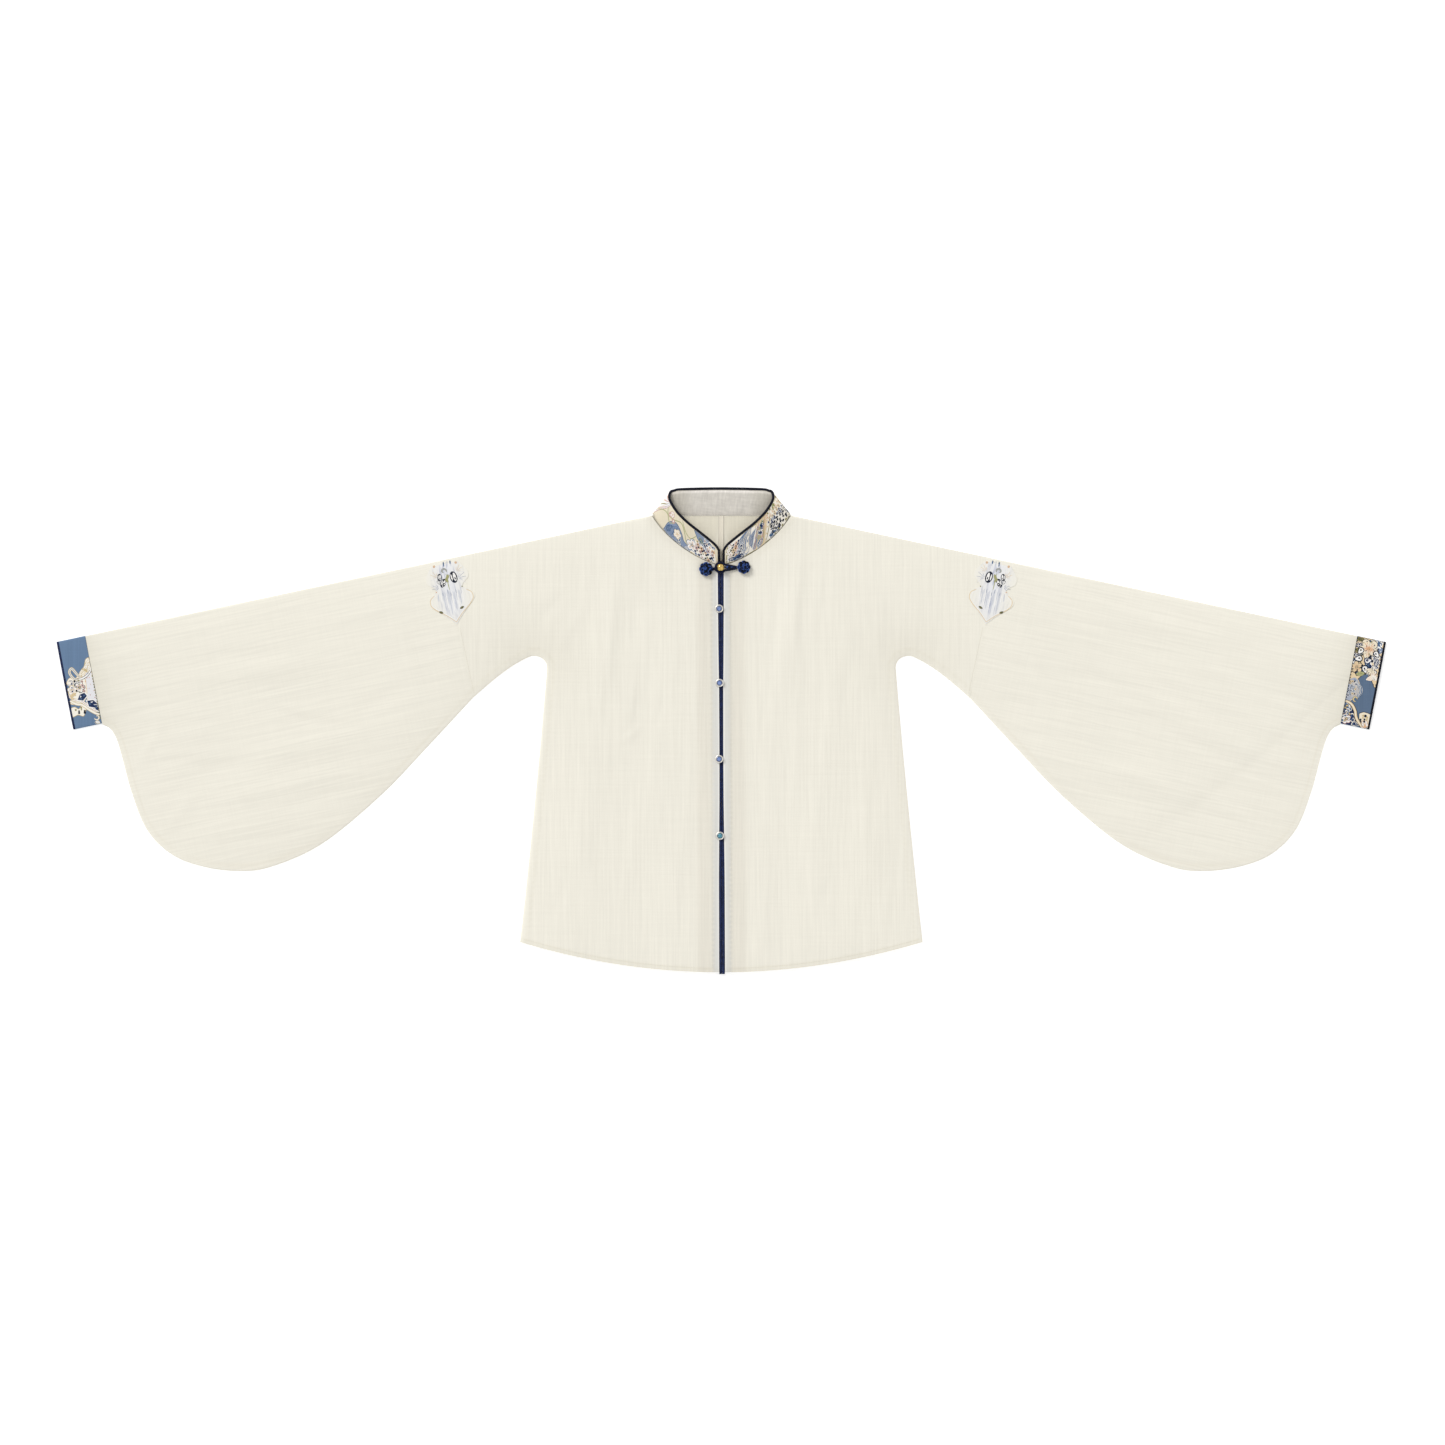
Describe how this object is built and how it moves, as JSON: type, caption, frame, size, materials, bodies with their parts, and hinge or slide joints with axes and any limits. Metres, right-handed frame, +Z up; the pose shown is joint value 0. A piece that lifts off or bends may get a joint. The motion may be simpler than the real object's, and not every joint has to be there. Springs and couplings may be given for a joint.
{
  "type": "stand-collar top with pipa sleeves",
  "caption": "Cream stand-collar top laid flat, with deep pipa sleeves, floral collar and cuffs, navy edge bindings, a knotted frog fastening and snap caps.",
  "frame": {"origin": "centre of the garment's plan box, on the surface it lies on", "axes": "+Z up out of the surface, +Y towards the collar, +X towards the wearer's left sleeve"},
  "size_m": [1.862, 0.6817, 0.0174],
  "materials": {
    "cotton": "cream slubbed cotton, matt",
    "print": "floral printed cloth on a slate blue ground",
    "lining": "plain beige lining",
    "binding": "navy satin bias binding",
    "gauze": "grey lilac gauze applique",
    "cord": "navy knotted cord",
    "gold": "polished gold-toned bead",
    "snap_metal": "silvery snap rim",
    "snap_stone": "pearly blue stone"
  },
  "bodies": {
    "root": {"front_right": "cotton", "front_left": "cotton", "back_right": "cotton", "back_left": "cotton", "sleeve_right": "cotton", "sleeve_left": "cotton", "underlap": "cotton", "cuff_right": "print", "cuff_left": "print", "collar": "print", "collar_lining": "lining", "collar_binding": "binding", "cuff_binding_right": "binding", "cuff_binding_left": "binding", "front_binding_right": "binding", "front_binding_left": "binding", "applique_right": "gauze", "applique_left": "gauze", "frog_knot_right": "cord", "frog_knot_left": "cord", "frog_loop": "cord", "frog_bead": "gold", "snap_ring_1": "snap_metal", "snap_ring_2": "snap_metal", "snap_ring_3": "snap_metal", "snap_ring_4": "snap_metal", "snap_stone_1": "snap_stone", "snap_stone_2": "snap_stone", "snap_stone_3": "snap_stone", "snap_stone_4": "snap_stone"}
  },
  "joints": []
}
